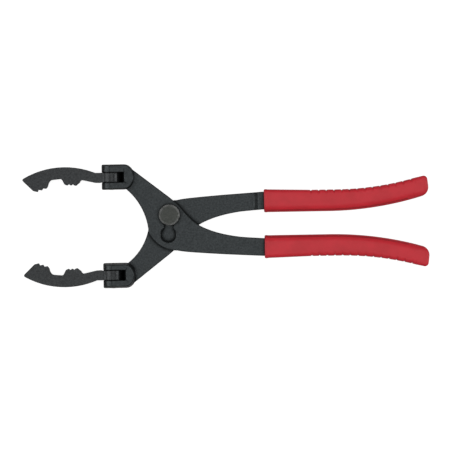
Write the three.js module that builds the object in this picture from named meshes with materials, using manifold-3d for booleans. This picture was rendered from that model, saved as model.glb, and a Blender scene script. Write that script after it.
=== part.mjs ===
// Oil filter wrench: slip-joint pliers whose two toothed jaws swivel on pins in forged clevises.
//
// Millimetres, +Z up. The origin is the centre of the pivot bolt's lower end, which the tool lies on.
// +X runs along the handles, +Y towards the upper jaw and +Z towards the bolt's head.
//
// The two sides of the tool are the same shape turned over. Each side is drawn in its own group,
// whose axes are x, c and z: x is along the tool, c is the distance from the tool's centre line
// towards that side's jaw, and z is up from the plane where the arms meet. The handles are at
// negative c.

import * as THREE from 'three';
import { mergeVertices } from 'three/addons/utils/BufferGeometryUtils.js';
import Module from 'manifold-3d';

const wasm = await Module();
wasm.setup();

// ---------------------------------------------------------------- driving dimensions

const centreLineY = -8.5; // the centre line is this far below the pivot bolt
const gap = 0.3; // between pieces that touch, slide or press together
const armThickness = 5.6;
const through = 60; // longer than anything it has to cut
const planSteps = 6; // points on each curve of a plan outline
const profileSteps = 10; // points on each curve of a side profile
const roundSteps = 40; // sides on a bore or a turned piece

// Clevis: the fork at the end of each arm that holds a jaw.
const clevisHalfThickness = 8.9;
const clevisNose = 8.2; // how far the fork's rounded ends reach beyond the pin
const clevisInner = 29.8;
const clevisOuter = 50.4;
const clevisEnd = 27.9; // how far left of the bolt the fork's round root ends
const clevisRootLength = 8.2;
const forgingDraft = THREE.MathUtils.degToRad(7); // slope of the fork's sides, from the middle of the arm
const slotCentre = 39.8;
const slotWidth = 8.1;
const slotMouthFloor = -36.0; // the slot's floor, where it opens on the front of the tool
const slotHeelFloor = -41.6; // and on the back, closed in as far as the swinging blade allows
const slotSweep = 7.9; // radius of the hollow that the jaw's eye turns in

// Jaw and the pin it swivels on.
const pinX = -46.5;
const pinRadius = 3.0;
const pinProud = 0.1;
const eyeRadius = 7.5;
const jawHalfThickness = 3.6;
const eyeFillet = 2.5;

// Pivot.
const boltHeadRadius = 8.55;
const boltHeadHeight = 3.0;
const shankRadius = 5.8;
const flatsWidth = 6.8;
const threadRadius = 4.9;
const nutAcrossFlats = 16.0;
const nutThickness = 3.6;
const threadEnd = 0.4; // the bolt's thread stands this far out of the nut
const lobeRadius = 6.1;
const neckWidth = 7.3;
const slipTravel = 16.0;
const slipTilt = THREE.MathUtils.degToRad(3.9); // the slot leans this much off square to the tool
const slotRimChamfer = 0.7;

// Handles and grips.
const jog = { start: 69.0, end: 72.5 }; // where each handle steps to the middle of the thickness
const tangHalfThickness = 4.0;
const tangEnd = 198.0;
const gripMouth = 77.2;
const gripEnd = 211.0;
const gripWall = 2.2;
const gripHalfThickness = 6.2;
const gripEdgeRadius = 2.4;
const innerBend = { x: 130.0, edge: -9.4, radius: 271.0 };
const outerBend = { x: 137.0, edge: -26.95, radius: 241.0 };
const gripWaist = 115.0; // the outer edge runs in as far as here, and then level to the bend
const gripMouthOuter = -28.0;

// ---------------------------------------------------------------- solids

// A closed three.js geometry as a solid that can be joined and cut.
function solidFrom(geometry) {
  const bare = geometry.clone();
  bare.deleteAttribute('normal');
  bare.deleteAttribute('uv');
  const merged = mergeVertices(bare, 1e-3);
  return new wasm.Manifold(
    new wasm.Mesh({
      numProp: 3,
      vertProperties: new Float32Array(merged.attributes.position.array),
      triVerts: new Uint32Array(merged.index.array),
    }),
  );
}

function geometryFrom(solid) {
  const mesh = solid.getMesh();
  const geometry = new THREE.BufferGeometry();
  geometry.setAttribute('position', new THREE.BufferAttribute(mesh.vertProperties, 3));
  geometry.setIndex(new THREE.BufferAttribute(mesh.triVerts, 1));
  geometry.computeVertexNormals();
  return geometry;
}

// An outline made thick from z = low to z = high.
function extruded(outline, low, high, steps) {
  const geometry = new THREE.ExtrudeGeometry(outline, {
    depth: high - low,
    curveSegments: steps,
    bevelEnabled: false,
  });
  return geometry.translate(0, 0, low);
}

function plate(outline, low, high) {
  return solidFrom(extruded(outline, low, high, planSteps));
}

// A plan outline made thick about z = middle, its sides drawn in by `inset` towards both faces.
function taperedPlate(outline, middle, halfThickness, inset, bevelHeight, steps) {
  const geometry = new THREE.ExtrudeGeometry(outline, {
    depth: 2 * (halfThickness - bevelHeight),
    curveSegments: planSteps,
    bevelThickness: bevelHeight,
    bevelSize: inset,
    bevelOffset: -inset,
    bevelSegments: steps,
  });
  geometry.translate(0, 0, middle + bevelHeight - halfThickness);
  return solidFrom(geometry);
}

// A side profile (x, z) made wide from c = low to c = high.
function slab(profile, low, high) {
  return solidFrom(extruded(profile, -high, -low, profileSteps).rotateX(Math.PI / 2));
}

// A bore along c, centred on (x, middle, 0).
function crossBore(radius, length, x, middle) {
  const geometry = new THREE.CylinderGeometry(radius, radius, length, roundSteps);
  return solidFrom(geometry.translate(x, middle, 0));
}

// A bore along z, centred on (0, c).
function uprightBore(radius, length, c) {
  const geometry = new THREE.CylinderGeometry(radius, radius, length, roundSteps);
  return solidFrom(geometry.rotateX(Math.PI / 2).translate(0, c, 0));
}

function points(pairs) {
  return pairs.map(([x, c]) => new THREE.Vector2(x, c));
}

// A profile of [radius, z] pairs turned about the z axis.
function turned(profile) {
  return solidFrom(new THREE.LatheGeometry(points(profile), roundSteps).rotateX(Math.PI / 2));
}

// ---------------------------------------------------------------- arms

// The angle at which a circle passes a given c on its right-hand side.
function angleAtC(circle, c) {
  return Math.asin((c - circle.c) / circle.radius);
}

// The angle at which a circle passes a given x on its upper side.
function angleAtX(circle, x) {
  return Math.acos((x - circle.x) / circle.radius);
}

// The tang and the cavity of the grip share these edges; grow widens the cavity.
function tangEdges(grow) {
  return {
    outer: {
      x: outerBend.x,
      c: outerBend.edge - outerBend.radius,
      radius: outerBend.radius + gripWall - grow,
    },
    inner: {
      x: innerBend.x,
      c: innerBend.edge - innerBend.radius,
      radius: innerBend.radius - gripWall + grow,
    },
    end: tangEnd + grow,
  };
}

function addTang(outline, edges) {
  const { outer, inner, end } = edges;
  outline.absarc(outer.x, outer.c, outer.radius, Math.PI / 2, angleAtX(outer, end), true);
  outline.absarc(inner.x, inner.c, inner.radius, angleAtX(inner, end), Math.PI / 2, false);
}

// throat: the concave arc that faces the filter; it ends at c = foot. The heel is the round below the bolt.
function armOutline(throat) {
  const heel = { x: 6.1, c: 4.8, radius: 25.35 };
  const insideClevis = -40; // the arm's own end is buried in the clevis block
  const outline = new THREE.Shape();
  outline.absarc(
    throat.x, throat.c, throat.radius,
    angleAtC(throat, clevisInner), angleAtC(throat, throat.foot), true,
  );
  outline.absarc(
    heel.x, heel.c, heel.radius,
    Math.PI - angleAtC(heel, throat.foot), 1.5 * Math.PI, false,
  );
  outline.splineThru(points([[16, -22.0], [44, -24.2], [76, -26.1]]));
  addTang(outline, tangEdges(0));
  outline.lineTo(76, -11.7);
  outline.splineThru(points([
    [56, -10.0], [40, -6.7], [28, -2.3], [21, 2.0], [14, 8.7], [7, 16.8], [0, 23.1],
  ]));
  outline.lineTo(-34.2, 49.7);
  outline.lineTo(insideClevis, clevisOuter - 4);
  outline.lineTo(insideClevis, clevisInner + 4);
  outline.closePath();
  return outline;
}

// Seen from the side: flat plate from the clevis to the jog, then the thicker tang on the middle plane.
function armProfile() {
  const face = gap / 2;
  const profile = new THREE.Shape();
  profile.setFromPoints(points([
    [-60, face],
    [jog.start, face],
    [jog.end, -tangHalfThickness],
    [tangEnd + 10, -tangHalfThickness],
    [tangEnd + 10, tangHalfThickness],
    [jog.end, tangHalfThickness],
    [jog.start, face + armThickness],
    [-60, face + armThickness],
  ]));
  return profile;
}

function clevisOutline() {
  const middle = (clevisInner + clevisOuter) / 2;
  const halfWidth = (clevisOuter - clevisInner) / 2;
  const left = pinX - clevisNose - 2; // the cheeks' half round cuts this end off
  const rootX = -clevisEnd - clevisRootLength;
  const outline = new THREE.Shape();
  outline.moveTo(left, clevisInner);
  outline.lineTo(rootX, clevisInner);
  outline.absellipse(rootX, middle, clevisRootLength, halfWidth, -Math.PI / 2, Math.PI / 2, false, 0);
  outline.lineTo(left, clevisOuter);
  outline.closePath();
  return outline;
}

// The cheeks end in a half round about the pin.
function clevisProfile() {
  const profile = new THREE.Shape();
  profile.moveTo(0, -clevisHalfThickness);
  profile.lineTo(0, clevisHalfThickness);
  profile.lineTo(pinX, clevisHalfThickness);
  profile.absellipse(pinX, 0, clevisNose, clevisHalfThickness, Math.PI / 2, 1.5 * Math.PI, false, 0);
  return profile;
}

// The block is widest level with the middle of the arm, where the halves of the forging die meet.
function clevisBlock() {
  const partingHeight = (gap + armThickness) / 2;
  const partingLand = 0.1;
  const reach = partingHeight + clevisHalfThickness;
  const inset = reach * Math.tan(forgingDraft);
  const block = taperedPlate(clevisOutline(), partingHeight, reach, inset, reach - partingLand, 1);
  return block.intersect(slab(clevisProfile(), clevisInner - 5, clevisOuter + 5));
}

// The opening the jaw's eye turns in. Its floor stays just clear of the eye and closes in behind it.
// front is 1 where +z is the front of the tool, and -1 where +z is its back.
function clevisSlot(front) {
  const beyond = 2 * clevisHalfThickness;
  const heelAngle = Math.acos((slotHeelFloor - pinX) / slotSweep);
  const profile = new THREE.Shape();
  profile.moveTo(pinX - beyond, front * beyond);
  profile.lineTo(slotMouthFloor, front * beyond);
  profile.lineTo(slotMouthFloor, front * clevisHalfThickness);
  profile.absarc(pinX, 0, slotSweep, 0, -front * heelAngle, front > 0);
  profile.lineTo(slotHeelFloor, -front * beyond);
  profile.lineTo(pinX - beyond, -front * beyond);
  profile.closePath();
  return slab(profile, slotCentre - slotWidth / 2, slotCentre + slotWidth / 2);
}

// The two-position opening in the front arm: two round lobes joined by a narrower neck.
function slipOutline() {
  const neckAngle = Math.asin(neckWidth / 2 / lobeRadius);
  const outline = new THREE.Shape();
  outline.absarc(0, 0, lobeRadius, neckAngle - Math.PI / 2, 1.5 * Math.PI - neckAngle, false);
  outline.absarc(0, -slipTravel, lobeRadius, Math.PI / 2 + neckAngle, 2.5 * Math.PI - neckAngle, false);
  outline.closePath();
  return outline;
}

// The opening right through the front arm, with a chamfered rim on the front face.
function slipSlot() {
  const face = gap / 2 + armThickness;
  const opening = extruded(slipOutline(), -armThickness, face + 1, planSteps);
  const rim = new THREE.ExtrudeGeometry(slipOutline(), {
    depth: armThickness,
    curveSegments: planSteps,
    bevelThickness: slotRimChamfer,
    bevelSize: slotRimChamfer,
    bevelSegments: 1,
  });
  rim.translate(0, 0, face);
  const [hole, chamfer] = [opening, rim].map((geometry) => (
    solidFrom(geometry.rotateZ(-slipTilt).translate(0, -centreLineY, 0))
  ));
  return hole.add(chamfer);
}

function arm(throat, front) {
  const bar = plate(armOutline(throat), -through, through);
  return bar
    .intersect(slab(armProfile(), -through, through))
    .add(clevisBlock())
    .subtract(clevisSlot(front))
    .subtract(crossBore(pinRadius + gap, through, pinX, slotCentre));
}

// ---------------------------------------------------------------- jaws and pins

// A jaw is drawn about its pin: x along the tool, y across it, away from the filter.
function jawOutline() {
  const eyeHalfWidth = slotWidth / 2 - gap;
  const neck = { back: -13.2, front: -9.4 };
  const back = { x: -38.8, c: -57.4, radius: 66.45, start: -15.2, end: -71.7 };
  const outline = new THREE.Shape();
  outline.moveTo(eyeRadius, -eyeHalfWidth);
  outline.lineTo(eyeRadius, eyeHalfWidth);
  outline.lineTo(neck.back, eyeHalfWidth);
  outline.absarc(
    back.x, back.c, back.radius,
    angleAtX(back, back.start), angleAtX(back, back.end), false,
  );
  outline.splineThru(points([[-72.5, -0.4], [-72.6, -1.3], [-72.1, -2.1]]));
  outline.lineTo(-64.5, -9.5);
  addTipTeeth(outline);
  outline.splineThru(points([[-52.4, -6.6], [-51.5, -3.8], [-50.0, -1.7], [-48.3, -1.1]]));
  outline.lineTo(-41.8, -0.5);
  outline.splineThru(points([[-40.3, -1.5], [-38.7, -4.6], [-37.6, -5.5]]));
  addMiddleTeeth(outline);
  outline.splineThru(points([[-26.3, -3.7], [-25.5, -2.4], [-24.3, -1.8], [-21.5, -2.3], [-13.5, -4.1]]));
  outline.lineTo(neck.front, -4.2);
  outline.lineTo(neck.front, -eyeHalfWidth);
  outline.closePath();
  return outline;
}

// Saw teeth at the jaw's tip: flat lands that step back towards the pin.
function addTipTeeth(outline) {
  const lands = 3;
  const step = { x: 3.75, y: 1.1 };
  const land = { x: 3.1, y: -0.7 };
  const shorter = { x: -0.35, y: 0.15 }; // how much each land loses on the one before
  for (let i = 0; i < lands; i += 1) {
    const x = -63.7 + step.x * i;
    const y = -10.1 + step.y * i;
    outline.lineTo(x, y);
    outline.lineTo(x + land.x + shorter.x * i, y + land.y + shorter.y * i);
  }
}

// Even teeth on the middle rib, which then steps down to the blade.
function addMiddleTeeth(outline) {
  const teeth = 3;
  const pitch = { x: 3.1, y: -0.1 };
  const depth = 1.1;
  for (let i = 0; i < teeth; i += 1) {
    const x = -36.5 + pitch.x * i;
    const y = -5.9 + pitch.y * i;
    if (i > 0) outline.lineTo(x - pitch.x / 2, y + depth - pitch.y);
    outline.lineTo(x, y);
  }
  outline.lineTo(-29.2, -6.2);
  outline.lineTo(-27.7, -4.9);
}

// Seen from the side: a flat blade that swells through a fillet into the round eye.
function jawProfile() {
  const bladeEnd = -80;
  const across = jawHalfThickness + eyeFillet;
  const reach = eyeRadius + eyeFillet;
  const along = Math.sqrt(reach * reach - across * across);
  const tilt = Math.atan2(across, along);
  const profile = new THREE.Shape();
  profile.moveTo(bladeEnd, jawHalfThickness);
  profile.lineTo(bladeEnd, -jawHalfThickness);
  profile.absarc(-along, -across, eyeFillet, Math.PI / 2, tilt, true);
  profile.absarc(0, 0, eyeRadius, Math.PI + tilt, 3 * Math.PI - tilt, false);
  profile.absarc(-along, across, eyeFillet, -tilt, -Math.PI / 2, true);
  profile.closePath();
  return profile;
}

function jaw() {
  return plate(jawOutline(), -through, through)
    .intersect(slab(jawProfile(), -through, through))
    .subtract(crossBore(pinRadius + gap, through, 0, 0));
}

// The pin's ends are peened over to a low dome.
function pin() {
  const half = (clevisOuter - clevisInner) / 2 + pinProud;
  const crown = { height: 0.1, radius: 0.6 * pinRadius };
  const dome = 0.8;
  const profile = [
    [0, -half],
    [crown.radius, crown.height - half],
    [pinRadius, dome - half],
    [pinRadius, half - dome],
    [crown.radius, half - crown.height],
    [0, half],
  ];
  return solidFrom(new THREE.LatheGeometry(points(profile), roundSteps));
}

// ---------------------------------------------------------------- pivot

const headSeat = gap + gap / 2 + armThickness;
const boltEnd = headSeat + nutThickness + threadEnd;

function bolt() {
  const chamfer = 0.6;
  const top = headSeat + boltHeadHeight;
  const body = turned([
    [0, -boltEnd],
    [threadRadius - chamfer, -boltEnd],
    [threadRadius, chamfer - boltEnd],
    [threadRadius, gap - headSeat],
    [shankRadius, gap - headSeat],
    [shankRadius, headSeat],
    [boltHeadRadius, headSeat],
    [boltHeadRadius, top - 1.1],
    [boltHeadRadius - 0.3, top - 0.6],
    [boltHeadRadius - 1.0, top - 0.25],
    [boltHeadRadius * 0.55, top - 0.05],
    [0, top],
  ]);
  return body.subtract(flatCut(1)).subtract(flatCut(-1));
}

// What is milled off one side of the shank so that it passes the slot's neck.
function flatCut(side) {
  const height = headSeat - 0.01; // stops a hair below the head
  const geometry = new THREE.BoxGeometry(shankRadius, 4 * shankRadius, height);
  geometry.translate(side * (flatsWidth + shankRadius) / 2, 0, height / 2);
  return solidFrom(geometry);
}

function nut() {
  const corner = nutAcrossFlats / Math.sqrt(3);
  const chamfer = { height: 0.9, width: 1.44 };
  const top = -headSeat;
  const bottom = top - nutThickness;
  const hex = new THREE.CylinderGeometry(corner, corner, nutThickness, 6);
  hex.rotateX(Math.PI / 2);
  hex.translate(0, 0, (top + bottom) / 2);
  const cone = turned([
    [0, bottom],
    [corner - chamfer.width, bottom],
    [corner, bottom + chamfer.height],
    [corner, top],
    [0, top],
  ]);
  return solidFrom(hex).intersect(cone).subtract(uprightBore(threadRadius + gap, through, 0));
}

// ---------------------------------------------------------------- grips

// The sleeve starts before the mouth, so that the mouth can be cut square.
const beforeMouth = 6.0;

function gripOutline() {
  const inner = { ...innerBend, c: innerBend.edge - innerBend.radius };
  const outer = { ...outerBend, c: outerBend.edge - outerBend.radius };
  const outline = new THREE.Shape();
  outline.moveTo(gripMouth - beforeMouth, gripMouthOuter);
  outline.lineTo(gripMouth, gripMouthOuter);
  outline.lineTo(gripWaist, outerBend.edge);
  outline.absarc(outer.x, outer.c, outer.radius, Math.PI / 2, angleAtX(outer, 205), true);
  outline.splineThru(points([
    [208.8, -35.0], [210.7, -31.0], [gripEnd, -26.4], [208.6, -22.3], [206, -20.1],
  ]));
  outline.absarc(inner.x, inner.c, inner.radius, angleAtX(inner, 203), Math.PI / 2, false);
  outline.lineTo(gripMouth - beforeMouth, innerBend.edge);
  outline.closePath();
  return outline;
}

function cavityOutline() {
  const start = gripMouth - 10;
  const outline = new THREE.Shape();
  outline.moveTo(start, -11.2);
  outline.lineTo(start, -26.6);
  addTang(outline, tangEdges(gap));
  outline.closePath();
  return outline;
}

function grip() {
  const rounding = gripEdgeRadius;
  const sleeve = taperedPlate(gripOutline(), 0, gripHalfThickness, rounding, rounding, 3);
  const mouthCut = new THREE.BoxGeometry(through, through, through);
  mouthCut.translate(gripMouth - through / 2, 0, 0);
  const cavity = plate(cavityOutline(), -tangHalfThickness - gap, tangHalfThickness + gap);
  return sleeve.subtract(solidFrom(mouthCut)).subtract(cavity);
}

// ---------------------------------------------------------------- materials

const forgedSteel = { color: 0x3b4043, roughness: 0.55, metalness: 0.7 };
const jawSteel = { color: 0x434346, roughness: 0.6, metalness: 0.7 };
const boltSteel = { color: 0x5c5d57, roughness: 0.5, metalness: 0.8 };
const redVinyl = { color: 0xb8303a, roughness: 0.45, metalness: 0.0 };

function piece(name, solid, finish) {
  const mesh = new THREE.Mesh(geometryFrom(solid), new THREE.MeshStandardMaterial(finish));
  mesh.name = name;
  return mesh;
}

function jawPiece(name) {
  const mesh = piece(name, jaw(), jawSteel);
  mesh.position.set(pinX, slotCentre, 0);
  return mesh;
}

function pinPiece(name) {
  const mesh = piece(name, pin(), boltSteel);
  mesh.position.set(pinX, (clevisInner + clevisOuter) / 2, 0);
  return mesh;
}

// ---------------------------------------------------------------- assembly

function frontSide() {
  const side = new THREE.Group();
  side.position.y = centreLineY;
  const throat = { x: -67.8, c: -8.6, radius: 50.85, foot: -5.6 };
  const body = arm(throat, 1).subtract(slipSlot());
  side.add(piece('front_arm', body, forgedSteel));
  side.add(jawPiece('upper_jaw'));
  side.add(pinPiece('upper_jaw_pin'));
  side.add(piece('lower_grip', grip(), redVinyl));
  return side;
}

function backSide() {
  const side = new THREE.Group();
  side.position.y = centreLineY;
  side.rotation.x = Math.PI;
  const throat = { x: -61.6, c: -6.0, radius: 45.05, foot: -6.6 };
  const body = arm(throat, -1).subtract(uprightBore(lobeRadius, through, centreLineY));
  side.add(piece('back_arm', body, forgedSteel));
  side.add(jawPiece('lower_jaw'));
  side.add(pinPiece('lower_jaw_pin'));
  side.add(piece('upper_grip', grip(), redVinyl));
  return side;
}

function pivotPieces() {
  const group = new THREE.Group();
  group.rotation.z = -slipTilt;
  group.add(piece('pivot_bolt', bolt(), boltSteel));
  group.add(piece('pivot_nut', nut(), boltSteel));
  return group;
}

const wrench = new THREE.Group();
wrench.add(frontSide(), backSide(), pivotPieces());
wrench.position.z = boltEnd;

export default wrench;
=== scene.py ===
"""Looks of the oil filter wrench: rounded steel pieces, ribbed vinyl grips, floor, lights and camera."""

import math

import bmesh
import bpy
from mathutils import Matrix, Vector
from mathutils.geometry import intersect_point_line


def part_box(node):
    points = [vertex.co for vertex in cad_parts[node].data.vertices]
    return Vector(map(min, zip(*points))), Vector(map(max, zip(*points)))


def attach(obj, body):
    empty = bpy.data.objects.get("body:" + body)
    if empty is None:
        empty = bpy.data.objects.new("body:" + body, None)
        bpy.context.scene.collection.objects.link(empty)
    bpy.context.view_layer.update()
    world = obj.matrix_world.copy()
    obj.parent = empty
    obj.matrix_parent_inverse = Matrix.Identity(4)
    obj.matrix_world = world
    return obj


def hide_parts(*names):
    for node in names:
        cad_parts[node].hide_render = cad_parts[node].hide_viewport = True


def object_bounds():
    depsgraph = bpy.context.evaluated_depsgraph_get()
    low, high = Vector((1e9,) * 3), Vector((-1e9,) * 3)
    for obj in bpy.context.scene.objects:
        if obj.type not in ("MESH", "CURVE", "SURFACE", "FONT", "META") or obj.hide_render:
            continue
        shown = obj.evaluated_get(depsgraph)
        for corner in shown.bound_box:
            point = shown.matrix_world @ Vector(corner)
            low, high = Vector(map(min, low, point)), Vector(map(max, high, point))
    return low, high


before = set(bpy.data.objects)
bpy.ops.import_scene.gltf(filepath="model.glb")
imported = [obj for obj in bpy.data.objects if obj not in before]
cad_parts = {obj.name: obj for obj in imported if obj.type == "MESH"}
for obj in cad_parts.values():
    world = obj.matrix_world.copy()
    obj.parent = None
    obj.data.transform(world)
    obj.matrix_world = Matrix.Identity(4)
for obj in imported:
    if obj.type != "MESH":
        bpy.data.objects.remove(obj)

MM = 0.001
cad_low, cad_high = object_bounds()


def box_in_mm(node):
    """The lowest and highest corners of a CAD node."""
    low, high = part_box(node)
    return low / MM, high / MM


# ---------------------------------------------------------------- driving dimensions, millimetres

GRIP_LOW, GRIP_HIGH = box_in_mm("upper_grip")
OTHER_GRIP_LOW, _ = box_in_mm("lower_grip")
PIN_LOW, PIN_HIGH = box_in_mm("upper_jaw_pin")
CENTRE_LINE_Y = (GRIP_HIGH.y + OTHER_GRIP_LOW.y) / 2  # the handles mirror each other about this line
MEETING_PLANE_Z = (GRIP_LOW.z + GRIP_HIGH.z) / 2  # height of the plane where the two arms meet
PIN_X = (PIN_LOW.x + PIN_HIGH.x) / 2

EDGE_ROUND = 0.7  # rounding on the outside edges of the forgings
JAW_ROUND = 0.28
PIN_ROUND = 0.2
BOLT_ROUND = 0.4
NUT_ROUND = 0.12
ROOT_FILLET = 2.2  # fillet where a fork grows out of its arm
OUTSIDE_SHARE = 0.3  # most of the room beside an outside edge that its rounding takes
INSIDE_SHARE = 0.2  # the same for an inside edge
LEAST_ROUND = 0.01
PIN_BORE_ROUND = 0.2  # rounding on the rims of the pins' bores
PIN_BORE_REACH = 3.6  # the rims are all of the edges this close to a pin's axis
CORNER_STEPS = (6.0, 4.0, 2.5, 1.4, 0.7)  # distances over which the rounding fades out at a corner
EYE_HALF_WIDTH = 3.75  # half the width of the jaw's eye in the CAD
EYE_WIDER = 0.2  # how much closer each side of the eye fits its fork
EYE_FROM = -53.0  # the eye is all of the jaw to the right of here
SMOOTH_BELOW = math.radians(28)  # edges that turn less than this are part of a curved surface

GRIP_MOUTH = GRIP_LOW.x
GRIP_HALF_THICKNESS = (GRIP_HIGH.z - GRIP_LOW.z) / 2
GRIP_STRAIGHT_END = 130.0
GRIP_INNER = 9.4  # distance of the straight inner edge from the centre line
GRIP_INNER_RADIUS = 271.0
GRIP_OUTER = 26.95
GRIP_OUTER_RADIUS = 241.0
GRIP_OUTER_BEND = 137.0  # where the outer edge starts to bend
GRIP_MOUTH_OUTER = 28.0  # distance of the outer edge from the centre line at the mouth
GRIP_WAIST = 115.0  # the outer edge runs in as far as here, and then level to the bend
GRIP_WALL = 1.7
GRIP_CAVITY_HALF = 4.3  # half the cavity's height
GRIP_CAVITY_ROUND = (0.6, 0.6)
GRIP_CAVITY_END = 198.0
GRIP_END_START = 200.0  # where the edges start to turn into the rounded end
GRIP_INNER_CORNER = Vector((211.7, 22.0))
GRIP_OUTER_CORNER = Vector((209.8, 37.6))
GRIP_INNER_CORNER_RADIUS = 7.5
GRIP_OUTER_CORNER_RADIUS = 3.0
GRIP_INNER_ROUND = (5.3, 6.0)  # rounding of the edge: across the grip and through its thickness
GRIP_OUTER_ROUND = (3.0, 3.2)
GRIP_END_ROUND = (1.3, 1.5)
GRIP_CROWN = 0.25  # how much higher the middle of the top is than its sides
GRIP_LIP = 0.8  # radius of the mouth's rolled lip
GRIP_BEAD = 0.2  # how far the rim behind the lip stands proud
GRIP_BEAD_AT = 1.3  # and how far that rim is from the mouth
GRIP_BEAD_WIDTH = 1.0

PLAIN_STEP = 0.9  # spacing of the cross-sections where the grip is plain
RIBBED_STEP = 0.3  # and where it is ribbed
CAVITY_STRIDE = 12  # cross-sections of the outside for each one of the cavity
END_STATIONS = 30  # cross-sections round the end
QUARTER_STEPS = 6  # points along a quarter of a cross-section's rounding
CAP_STEPS = 7  # and across its top
LIP_STEPS = 3
CORNER_ARC_STEPS = 12

RIB_FIRST = 115.5  # the ribs lie between fine grooves, of which this is the first
RIB_PITCH = 6.25
RIB_COUNT = 14
RIB_WIDTH = 2.2
RIB_DEPTH = 0.7


# ---------------------------------------------------------------- shader nodes

def add(tree, kind, inputs=None, **settings):
    """A shader node with its settings, whose inputs are numbers, colours or other nodes' outputs."""
    made = tree.nodes.new(kind)
    for key, value in settings.items():
        setattr(made, key, value)
    for key, value in (inputs or {}).items():
        if isinstance(value, bpy.types.NodeSocket):
            tree.links.new(value, made.inputs[key])
        else:
            made.inputs[key].default_value = value
    return made


def noise(tree, size, detail=2.0, stretch=(1, 1, 1)):
    """Noise from 0 to 1 whose blotches are about size millimetres across."""
    place = add(tree, "ShaderNodeTexCoord").outputs["Object"]
    scaled = add(tree, "ShaderNodeMapping", {"Vector": place, "Scale": stretch})
    inputs = {"Vector": scaled.outputs[0], "Scale": 1 / (size * MM), "Detail": detail}
    return add(tree, "ShaderNodeTexNoise", inputs).outputs[0]


def ramp(tree, value, low, high, to_low=0.0, to_high=1.0):
    """The value carried over from low..high to to_low..to_high, and held there beyond."""
    inputs = {"Value": value, "From Min": low, "From Max": high, "To Min": to_low, "To Max": to_high}
    return add(tree, "ShaderNodeMapRange", inputs).outputs[0]


def blend_colours(tree, share, a, b):
    """a where share is 0 and b where it is 1."""
    made = add(tree, "ShaderNodeMix", {0: share, 6: a, 7: b}, data_type="RGBA")
    return made.outputs[2]


def plus(tree, a, b, factor=1.0):
    """a + b * factor."""
    return add(tree, "ShaderNodeMath", {0: b, 1: factor, 2: a}, operation="MULTIPLY_ADD").outputs[0]


def times(tree, a, b):
    """a * b."""
    return add(tree, "ShaderNodeMath", {0: a, 1: b}, operation="MULTIPLY").outputs[0]


def edge_mask(tree, reach):
    """1 on outside edges, falling to 0 at reach millimetres from them."""
    inputs = {"Distance": reach * MM}
    inside = add(tree, "ShaderNodeAmbientOcclusion", inputs, inside=True, samples=6)
    return ramp(tree, inside.outputs["AO"], 0.85, 0.45)


def painted_shade_mask(tree, reach):
    """Where shade is painted: 1 deep in creases and holes, 0 on open faces."""
    inputs = {"Distance": reach * MM}
    outside = add(tree, "ShaderNodeAmbientOcclusion", inputs, samples=6)
    return ramp(tree, outside.outputs["AO"], 0.92, 0.5)


def seen_by_camera(tree):
    """1 for what the camera sees directly, and 0 for what lights or is mirrored in something else."""
    return add(tree, "ShaderNodeLightPath").outputs["Is Camera Ray"]


def grey(value, tint=(1, 1, 1)):
    return tuple(value * part for part in tint) + (1,)


# ---------------------------------------------------------------- materials

def new_material(name):
    material = bpy.data.materials.new(name)
    material.use_nodes = True
    return material, material.node_tree, material.node_tree.nodes["Principled BSDF"]


def connect(tree, shader, **sockets):
    """Sets or links the shader's inputs, named with _ for each space."""
    for name, value in sockets.items():
        key = name.replace("_", " ")
        if isinstance(value, bpy.types.NodeSocket):
            tree.links.new(value, shader.inputs[key])
        else:
            shader.inputs[key].default_value = value


def bumped(tree, height, distance):
    """A normal roughened by height, whose full swing is distance millimetres."""
    inputs = {"Height": height, "Distance": distance * MM, "Strength": 1.0}
    return add(tree, "ShaderNodeBump", inputs).outputs[0]


def oxide_steel(name, tone, scuff_and_highlight_tone, tint, roughness, scuff_and_highlight, rim, shade_reach):
    """Forged or turned steel under a thin dark oxide, lighter near its outside edges and darker in its
    creases.

    tone and scuff_and_highlight_tone are the brightness of its faces and of its edges, and
    scuff_and_highlight, from 0 to 1, is
    how much of the edges is lightened: partly wear and partly a painted highlight, and on the bolt steel
    mostly a painted highlight round its rims. rim and shade_reach, in millimetres, are how far from the
    edges it is lightened and how far from the creases the painted shade reaches.
    """
    material, tree, shader = new_material(name)
    mottle = noise(tree, 7.0, detail=4.0)
    speckle = noise(tree, 0.9, detail=3.0)
    cloud = noise(tree, 45.0, detail=2.0)
    bluish = (tint[0] * 0.92, tint[1], tint[2] * 1.03)
    clouded = ramp(tree, cloud, 0.4, 0.6)
    mottled = ramp(tree, mottle, 0.35, 0.65, 0.0, 0.5)
    speckled = ramp(tree, speckle, 0.35, 0.7, 0.0, 0.5)
    base = blend_colours(tree, clouded, grey(tone * 0.85, tint), grey(tone * 1.05, bluish))
    base = blend_colours(tree, mottled, base, grey(tone * 1.3, tint))
    base = blend_colours(tree, speckled, base, grey(tone * 2.2, tint))
    # The outside edges are lightened: partly wear and partly a painted highlight, strongest on the bolt
    # steel's rims.
    scuffs_and_highlights = ramp(tree, noise(tree, 3.0, detail=3.0), 0.35, 0.6, 0.25 * scuff_and_highlight, scuff_and_highlight)
    scuffed_and_lit_edges = times(tree, edge_mask(tree, rim), scuffs_and_highlights)
    base = blend_colours(tree, scuffed_and_lit_edges, base, grey(scuff_and_highlight_tone))
    # Painted shade: darker in creases and holes.
    crease_shade = painted_shade_mask(tree, shade_reach)
    base = blend_colours(tree, crease_shade, base, grey(tone * 0.3, tint))
    rough = ramp(tree, speckle, 0.3, 0.7, roughness - 0.05, roughness + 0.07)
    blasted = ramp(tree, noise(tree, 1.4, detail=3.0), 0.3, 0.7, 0.36, 0.64)
    # Painted shade: the creases reflect less too.
    sheen = blend_colours(tree, crease_shade, blasted, grey(0.06))
    height = plus(tree, noise(tree, 0.6, detail=3.0), noise(tree, 2.5, detail=2.0), 1.5)
    connect(
        tree, shader, Base_Color=base, Roughness=rough, Specular_Tint=grey(1.0, tint),
        Specular_IOR_Level=sheen, Normal=bumped(tree, height, 0.03),
    )
    return material


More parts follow.
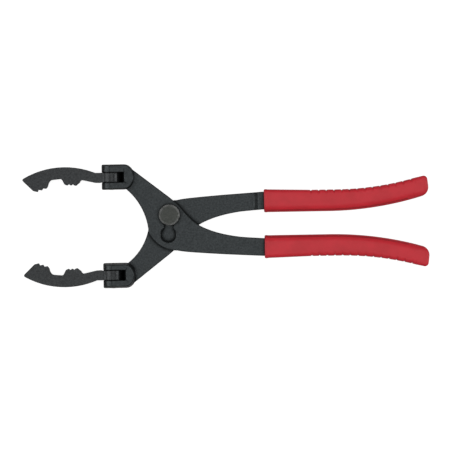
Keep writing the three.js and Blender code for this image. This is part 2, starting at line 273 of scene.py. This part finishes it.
def red_vinyl():
    """Soft dipped vinyl: satin, faintly pitted, with painted shade along its edges and in its creases."""
    material, tree, shader = new_material("red_vinyl")
    cloud = noise(tree, 14.0, detail=3.0)
    pits = noise(tree, 0.55, detail=2.0)
    ripple = noise(tree, 5.0, detail=1.0, stretch=(0.4, 1, 1))
    clouded = ramp(tree, cloud, 0.35, 0.65)
    base = blend_colours(tree, clouded, (0.8, 0.017, 0.034, 1), (0.88, 0.02, 0.04, 1))
    # Painted shade: darker red along the edges.
    base = blend_colours(tree, edge_mask(tree, 0.8), base, (0.46, 0.018, 0.028, 1))
    # Painted shade: dark red in the creases.
    base = blend_colours(tree, painted_shade_mask(tree, 1.6), base, (0.20, 0.004, 0.008, 1))
    rough = ramp(tree, pits, 0.3, 0.7, 0.42, 0.52)
    height = plus(tree, pits, ripple, 1.2)
    connect(
        tree, shader, Base_Color=base, Roughness=rough, Normal=bumped(tree, height, 0.05),
        Specular_IOR_Level=0.55, Coat_Weight=0.08, Coat_Roughness=0.3,
        Sheen_Weight=0.1, Sheen_Roughness=0.4,
    )
    return material


def pale_floor():
    """Paper white to the camera with a trace of shadow, and dull grey to everything that it would light."""
    material, tree, shader = new_material("pale_floor")
    glow = ramp(tree, seen_by_camera(tree), 0.0, 1.0, 0.0, 0.9)
    connect(
        tree, shader, Base_Color=grey(0.45), Roughness=1.0, Specular_IOR_Level=0.0,
        Emission_Color=grey(1.0), Emission_Strength=glow,
    )
    return material


# The material of each of the object's slots. Blender may number a material's own name, so a piece is
# given its slot's name and looks its material up here.
MATERIALS = {
    "forged_steel": oxide_steel("forged_steel", 0.008, 0.026, (0.9, 1.0, 1.04), 0.3, 0.35, 0.9, 3.5),
    "jaw_steel": oxide_steel("jaw_steel", 0.009, 0.029, (0.95, 1.0, 1.03), 0.3, 0.3, 0.9, 1.2),
    # The bolt steel's much lighter edges are mostly a painted highlight round its rims.
    "bolt_steel": oxide_steel("bolt_steel", 0.03, 0.38, (0.98, 1.03, 0.95), 0.32, 1.0, 2.8, 1.2),
    "red_vinyl": red_vinyl(),
}


def stand_in(mesh, piece_name, node_name, body, slot):
    """Makes a piece of the finished mesh, which rides on the body in place of the CAD node."""
    data = bpy.data.meshes.new(piece_name)
    mesh.to_mesh(data)
    mesh.free()
    data.materials.append(MATERIALS[slot])
    data.shade_smooth()
    piece = bpy.data.objects.new(piece_name, data)
    bpy.context.scene.collection.objects.link(piece)
    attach(piece, body)
    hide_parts(node_name)
    return piece


# ---------------------------------------------------------------- steel pieces

def turn_between(edge):
    """The angle an edge turns through, positive where the edge sticks out."""
    return edge.calc_face_angle_signed(0.0)


def edge_middle(edge):
    return (edge.verts[0].co + edge.verts[1].co) / 2


def is_level(edge):
    """Whether the edge runs across rather than up."""
    a, b = (vertex.co for vertex in edge.verts)
    return abs(a.z - b.z) < 0.2 * (a - b).length


def is_alongside(edge, other):
    """Whether the other edge is parallel to this one and nearly as long, or longer."""
    one, two = (a.co - b.co for a, b in (edge.verts, other.verts))
    return abs(one.dot(two)) > 0.98 * one.length * two.length and two.length > 0.8 * one.length


def nearest_on(edge, point):
    """The point on the edge that is nearest to a given point."""
    a, b = (vertex.co for vertex in edge.verts)
    near, share = intersect_point_line(point, a, b)
    if share <= 0.0:
        return a
    if share >= 1.0:
        return b
    return near


def merged_copy(node):
    """The node's mesh with its split vertices joined and its flat areas made whole."""
    mesh = bmesh.new()
    mesh.from_mesh(node.data)
    bmesh.ops.remove_doubles(mesh, verts=mesh.verts, dist=0.02 * MM)
    bmesh.ops.dissolve_limit(mesh, angle_limit=math.radians(0.7), verts=mesh.verts, edges=mesh.edges)
    bmesh.ops.dissolve_degenerate(mesh, edges=mesh.edges, dist=0.03 * MM)
    return mesh


def fork_corners(mesh):
    """The vertices where an outside edge runs into an inside one, and those next to them."""
    found = []
    for vertex in mesh.verts:
        turns = [turn_between(edge) for edge in vertex.link_edges]
        if max(turns) > SMOOTH_BELOW and min(turns) < -SMOOTH_BELOW:
            found.append(vertex)
    beside = [
        edge.other_vert(vertex) for vertex in found for edge in vertex.link_edges
        if edge.calc_length() < 1.0 * MM
    ]
    return list(dict.fromkeys(found + beside))


def split_near_corners(mesh, corners):
    """Cuts the long edges at each corner into steps, so that the rounding can fade out towards it."""
    for corner in corners:
        for edge in list(corner.link_edges):
            for reach in CORNER_STEPS:
                length = edge.calc_length()
                if abs(turn_between(edge)) > SMOOTH_BELOW and length > 1.3 * reach * MM:
                    _, middle = bmesh.utils.edge_split(edge, corner, reach * MM / length)
                    edge = next(part for part in middle.link_edges if corner in part.verts)


def room_beside(edge, others):
    """How far the edge's middle is from the nearest of the others, in millimetres."""
    middle = edge_middle(edge)
    return min(((middle - nearest_on(other, middle)).length for other in others), default=math.inf) / MM


def room_across(edge):
    """How far it is from the edge's middle, straight across its narrower face, to another sharp edge.

    A smooth edge alongside is itself left as it is, so it counts as twice as far away.
    """
    middle = edge_middle(edge)
    nearest = math.inf
    for loop in edge.link_loops:
        inwards = edge.calc_tangent(loop)
        for other in loop.face.edges:
            if set(other.verts) & set(edge.verts):
                continue
            way = nearest_on(other, middle) - middle
            sharp = abs(turn_between(other)) > SMOOTH_BELOW
            if (sharp or is_alongside(edge, other)) and way.dot(inwards) > 0.7 * way.length:
                nearest = min(nearest, way.length * (1 if sharp else 2))
    return nearest / MM


def most_rounding(edge, most):
    """The widest rounding for the edge, which is less on the rim of a pin's bore."""
    middle = edge_middle(edge) / MM
    at_bore = math.hypot(middle.x - PIN_X, middle.z - MEETING_PLANE_Z) < PIN_BORE_REACH
    return min(most, PIN_BORE_ROUND) if at_bore else most


def set_rounding(mesh, convex, concave):
    """Writes each edge's share of the widest rounding: less beside sharp edges, none at a fork's corners."""
    corners = fork_corners(mesh)
    split_near_corners(mesh, corners)
    weight = mesh.edges.layers.float.new("bevel_weight_edge")
    widest = max(convex, concave)
    at_corners = {edge for corner in corners for edge in corner.link_edges}
    outside = [edge for edge in mesh.edges if turn_between(edge) > SMOOTH_BELOW]
    inside = [edge for edge in mesh.edges if turn_between(edge) < -SMOOTH_BELOW and is_level(edge)]
    for edges, others, most, share in (
        (outside, inside, convex, OUTSIDE_SHARE),
        (inside, outside, concave, INSIDE_SHARE),
    ):
        for edge in edges:
            room = min(room_beside(edge, others), room_across(edge))
            width = min(most_rounding(edge, most), LEAST_ROUND + share * room)
            edge[weight] = 0.0 if edge in at_corners else width / widest
    return widest


def close_fit(mesh):
    """Moves the sides of a jaw's eye out towards its fork, where the CAD leaves a wider running gap."""
    eye = [vertex for vertex in mesh.verts if vertex.co.x > EYE_FROM * MM]
    middle = sum(vertex.co.y for vertex in eye) / len(eye)
    for vertex in mesh.verts:
        off = vertex.co.y - middle
        if abs(abs(off) - EYE_HALF_WIDTH * MM) < 0.02 * MM:
            vertex.co.y = middle + math.copysign((EYE_HALF_WIDTH + EYE_WIDER) * MM, off)


def rounded(node_name, body, slot, convex, concave=0.0, adjust=None):
    """Stands for a CAD node: the same solid with its edges rounded and its inside edges filleted.

    convex and concave are the roundings' widths, and adjust changes the solid before it is rounded.
    """
    mesh = merged_copy(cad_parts[node_name])
    if adjust:
        adjust(mesh)
    widest = set_rounding(mesh, convex, concave)
    piece = stand_in(mesh, node_name + "_piece", node_name, body, slot)
    bevel = piece.modifiers.new("rounding", "BEVEL")
    bevel.limit_method = "WEIGHT"
    bevel.width = widest * MM
    bevel.segments = 3
    bevel.use_clamp_overlap = False
    bevel.miter_outer = "MITER_ARC"
    bevel.harden_normals = False
    normals = piece.modifiers.new("normals", "WEIGHTED_NORMAL")
    normals.keep_sharp = True


rounded("front_arm", "front_side", "forged_steel", EDGE_ROUND, ROOT_FILLET)
rounded("back_arm", "back_side", "forged_steel", EDGE_ROUND, ROOT_FILLET)
rounded("upper_jaw", "upper_swivel_jaw", "jaw_steel", JAW_ROUND, adjust=close_fit)
rounded("lower_jaw", "lower_swivel_jaw", "jaw_steel", JAW_ROUND, adjust=close_fit)
rounded("upper_jaw_pin", "front_side", "bolt_steel", PIN_ROUND)
rounded("lower_jaw_pin", "back_side", "bolt_steel", PIN_ROUND)
rounded("pivot_bolt", "pivot", "bolt_steel", BOLT_ROUND)
rounded("pivot_nut", "pivot", "bolt_steel", NUT_ROUND)


# ---------------------------------------------------------------- grips
#
# A grip is drawn in x, along the tool, and o, outwards from the centre line between the handles.

def bent_edge(x, edge, bend, radius):
    """The edge's distance from the centre line: level as far as the bend, then curving outwards."""
    return edge + radius - math.sqrt(radius**2 - max(0.0, x - bend)**2)


def inner_edge(x):
    """The grip's edge towards the other grip."""
    return bent_edge(x, GRIP_INNER, GRIP_STRAIGHT_END, GRIP_INNER_RADIUS)


def outer_edge(x):
    """The grip's ribbed edge, away from the other grip."""
    taper = (GRIP_MOUTH_OUTER - GRIP_OUTER) * max(0.0, GRIP_WAIST - x) / (GRIP_WAIST - GRIP_MOUTH)
    return bent_edge(x, GRIP_OUTER, GRIP_OUTER_BEND, GRIP_OUTER_RADIUS) + taper


def corner_arc(before, corner, after, radius):
    """The points of a round corner between two straight lines."""
    one, two = (before - corner).normalized(), (after - corner).normalized()
    half = one.angle(two) / 2
    centre = corner + (one + two).normalized() * radius / math.sin(half)
    start, end = (corner + way * radius / math.tan(half) - centre for way in (one, two))
    turns = [i / CORNER_ARC_STEPS for i in range(CORNER_ARC_STEPS + 1)]
    return [centre + start.slerp(end, turn).normalized() * radius for turn in turns]


def evenly(path, count):
    """The path again as count points at even spacing."""
    lengths = [0.0]
    for a, b in zip(path, path[1:]):
        lengths.append(lengths[-1] + (b - a).length)
    points = []
    i = 0
    for step in range(count):
        goal = lengths[-1] * step / (count - 1)
        while i < len(path) - 2 and lengths[i + 1] < goal:
            i += 1
        share = (goal - lengths[i]) / (lengths[i + 1] - lengths[i])
        points.append(path[i].lerp(path[i + 1], min(1.0, share)))
    return points


def grip_stations():
    """Pairs of points on the inner and the outer edge, from the mouth to the middle of the rounded end."""
    pairs = []
    x = GRIP_MOUTH
    while x < GRIP_END_START:
        pairs.append((Vector((x, inner_edge(x))), Vector((x, outer_edge(x)))))
        x += PLAIN_STEP if x < RIB_FIRST - RIB_PITCH / 2 else RIBBED_STEP
    inner = Vector((GRIP_END_START, inner_edge(GRIP_END_START)))
    outer = Vector((GRIP_END_START, outer_edge(GRIP_END_START)))
    inner_arc = corner_arc(inner, GRIP_INNER_CORNER, GRIP_OUTER_CORNER, GRIP_INNER_CORNER_RADIUS)
    outer_arc = corner_arc(outer, GRIP_OUTER_CORNER, GRIP_INNER_CORNER, GRIP_OUTER_CORNER_RADIUS)
    middle = inner_arc[-1].lerp(outer_arc[-1], 0.3)
    inner_end = evenly([inner] + inner_arc + [middle], END_STATIONS)
    outer_end = evenly([outer] + outer_arc + [middle], END_STATIONS)
    return pairs + list(zip(inner_end, outer_end))


def inward_normals(edge, other):
    """At each point of one edge, the direction square to it that points into the grip."""
    start = edge[1] - edge[0]
    across = other[0] - edge[0]
    hand = math.copysign(1.0, start.x * across.y - start.y * across.x)
    normals = []
    for i in range(len(edge)):
        ahead = edge[i + 1] if i + 1 < len(edge) else other[-2]
        along = (ahead - edge[max(0, i - 1)]).normalized()
        normals.append(Vector((-along.y, along.x)) * hand)
    return normals


def quarter_turn(steps):
    """Angles from 0 to 90 degrees."""
    return [math.radians(90 * i / steps) for i in range(steps + 1)]


def cross_section(station, wall, half, rounds, shrink=0.0, groove=0.0):
    """The ring of points round one station: up the inner edge, across the top, down the outer edge, back.

    station holds each edge's point and inward normal, and rounds each edge's rounding across and upwards.
    wall moves the edges in, shrink moves every point in along its own normal, and groove cuts into the
    outer edge.
    """
    halves = []
    for (point, normal), (across, up), cut in zip(station, rounds, (0.0, groove)):
        side = []
        for angle in quarter_turn(QUARTER_STEPS):
            lean, rise = math.cos(angle), math.sin(angle)
            sink = shrink + cut * lean**0.6
            inset = wall + across * (1 - lean) + sink * lean
            side.append((point + normal * inset, half - up * (1 - rise) - sink * rise))
        halves.append(side)
    inner, outer = halves
    across = [inner[-1][0].lerp(outer[-1][0], i / CAP_STEPS) for i in range(1, CAP_STEPS)]
    crown = GRIP_CROWN if wall == 0.0 else 0.0
    caps = [
        (spot, inner[-1][1] + crown * math.sin(math.pi * (i + 1) / CAP_STEPS))
        for i, spot in enumerate(across)
    ]
    top = inner + caps + outer[::-1]
    bottom = [(spot, -height) for spot, height in reversed(top)]
    return [Vector((spot.x, spot.y, height)) for spot, height in top + bottom]


def rib_cut(x):
    """Depth of the fine grooves across the grip's outer edge."""
    nearest = min(range(RIB_COUNT), key=lambda i: abs(x - RIB_FIRST - RIB_PITCH * i))
    off = abs(x - RIB_FIRST - RIB_PITCH * nearest) / (RIB_WIDTH / 2)
    return RIB_DEPTH * math.cos(off * math.pi / 2) ** 2 if off < 1 else 0.0


def outside_rings(stations):
    """From behind the lip to the end, whose edges turn into its own tighter rounding."""
    rings = []
    last = len(stations) - 1
    for i, station in enumerate(stations):
        x = station[0][0].x
        turn = max(0.0, 1 - (last - i) / END_STATIONS)
        rounds = [
            tuple(a + (b - a) * turn for a, b in zip(start, GRIP_END_ROUND))
            for start in (GRIP_INNER_ROUND, GRIP_OUTER_ROUND)
        ]
        bead = GRIP_BEAD * math.exp(-((x - GRIP_MOUTH - GRIP_BEAD_AT) / GRIP_BEAD_WIDTH) ** 2)
        if x >= GRIP_MOUTH + GRIP_LIP:
            cut = rib_cut(x) if turn == 0.0 else 0.0
            rings.append(cross_section(station, 0.0, GRIP_HALF_THICKNESS, rounds, -bead, cut))
    return rings


def lip_rings(mouth):
    """The rolled lip, from its inside outwards."""
    rings = []
    rounds = (GRIP_INNER_ROUND, GRIP_OUTER_ROUND)
    for angle in quarter_turn(LIP_STEPS):
        shrink = GRIP_LIP * (1 - math.sin(angle)) - GRIP_BEAD * math.cos(angle)
        back = Vector((GRIP_LIP * (1 - math.cos(angle)), 0, 0))
        ring = cross_section(mouth, 0.0, GRIP_HALF_THICKNESS, rounds, shrink)
        rings.append([point + back for point in ring])
    return rings


def cavity_rings(stations):
    """The inside, which holds the arm's tang, from its closed end to the mouth."""
    rounds = (GRIP_CAVITY_ROUND, GRIP_CAVITY_ROUND)
    rings = [
        cross_section(station, GRIP_WALL, GRIP_CAVITY_HALF, rounds)
        for station in stations[::CAVITY_STRIDE] if station[0][0].x < GRIP_CAVITY_END
    ]
    return rings[::-1]


def grip_rings():
    """All of the sleeve's cross-sections: along the inside, round the lip and back along the outside."""
    pairs = grip_stations()
    edges = [list(edge) for edge in zip(*pairs)]
    normals = [inward_normals(edges[0], edges[1]), inward_normals(edges[1], edges[0])]
    stations = list(zip(zip(edges[0], normals[0]), zip(edges[1], normals[1])))
    return cavity_rings(stations) + lip_rings(stations[0]) + outside_rings(stations)


def make_grip(name, body, side):
    """A sleeve; side is 1 for the grip on the +Y side of the centre line and -1 for the other."""
    mesh = bmesh.new()
    rows = []
    for ring in grip_rings():
        row = []
        for x, o, z in ring:
            place = Vector((x, CENTRE_LINE_Y + side * o, MEETING_PLANE_Z + z)) * MM
            row.append(mesh.verts.new(place))
        rows.append(row)
    count = len(rows[0])
    for near, far in zip(rows, rows[1:]):
        for i in range(count):
            after = (i + 1) % count
            mesh.faces.new((near[i], near[after], far[after], far[i]))
    mesh.faces.new(rows[0])
    bmesh.ops.remove_doubles(mesh, verts=mesh.verts, dist=0.01 * MM)
    bmesh.ops.recalc_face_normals(mesh, faces=mesh.faces)
    stand_in(mesh, name + "_sleeve", name, body, "red_vinyl")


make_grip("upper_grip", "back_side", 1)
make_grip("lower_grip", "front_side", -1)


# ---------------------------------------------------------------- floor, light and camera

# Places and sizes here are in metres.

def floor():
    """A wide sheet under the lowest point of the tool."""
    reach = 6.0
    mesh = bpy.data.meshes.new("floor")
    corners = [(x * reach, y * reach, cad_low.z) for x, y in ((-1, -1), (1, -1), (1, 1), (-1, 1))]
    mesh.from_pydata(corners, [], [(0, 1, 2, 3)])
    sheet = bpy.data.objects.new("floor", mesh)
    bpy.context.scene.collection.objects.link(sheet)
    mesh.materials.append(pale_floor())


def soft_box(name, place, size, power):
    """A rectangular light of so many watts, aimed at the origin and hidden from the camera."""
    data = bpy.data.lights.new(name, "AREA")
    data.shape = "RECTANGLE"
    data.size, data.size_y = size
    data.energy = power
    light = bpy.data.objects.new(name, data)
    light.visible_camera = False
    light.location = place
    light.rotation_euler = (-Vector(place)).to_track_quat("-Z", "Y").to_euler()
    bpy.context.scene.collection.objects.link(light)


def surroundings():
    """White to the camera; what lights the tool is dim, with a brighter band some way above the horizon."""
    dim = 0.05
    band = 0.34
    world = bpy.data.worlds.new("studio")
    world.use_nodes = True
    tree = world.node_tree
    way = add(tree, "ShaderNodeTexCoord").outputs["Generated"]
    height = add(tree, "ShaderNodeSeparateXYZ", {0: way}).outputs["Z"]
    rise = ramp(tree, height, 0.15, 0.35)
    fall = ramp(tree, height, 0.6, 0.75, 1.0, 0.0)
    strength = ramp(tree, times(tree, rise, fall), 0.0, 1.0, dim, dim + band)
    shown = blend_colours(tree, seen_by_camera(tree), strength, grey(1.0))
    background = tree.nodes["Background"]
    background.inputs["Color"].default_value = grey(1.0)
    tree.links.new(shown, background.inputs["Strength"])
    bpy.context.scene.world = world


def camera():
    """Looks straight down through a long lens; the tool lies a hair anticlockwise of level."""
    width_of_view = 0.3684
    middle_of_view = (0.0459, -0.0098)
    tilt = math.radians(-1.0)
    data = bpy.data.cameras.new("camera")
    data.lens = 180.0
    distance = width_of_view * data.lens / data.sensor_width
    view = bpy.data.objects.new("camera", data)
    view.location = (*middle_of_view, MEETING_PLANE_Z * MM + distance)
    view.rotation_euler = (0, 0, tilt)
    data.clip_end = 20
    bpy.context.scene.collection.objects.link(view)
    bpy.context.scene.camera = view


floor()
soft_box("left_box", (-1.3, 0.0, 0.85), (0.45, 1.6), 5)
soft_box("right_box", (1.4, 0.0, 0.85), (0.45, 1.6), 5.5)
soft_box("top_box", (0.0, 0.0, 1.6), (1.2, 1.2), 5.5)
surroundings()
camera()
bpy.context.scene.view_settings.view_transform = "Standard"
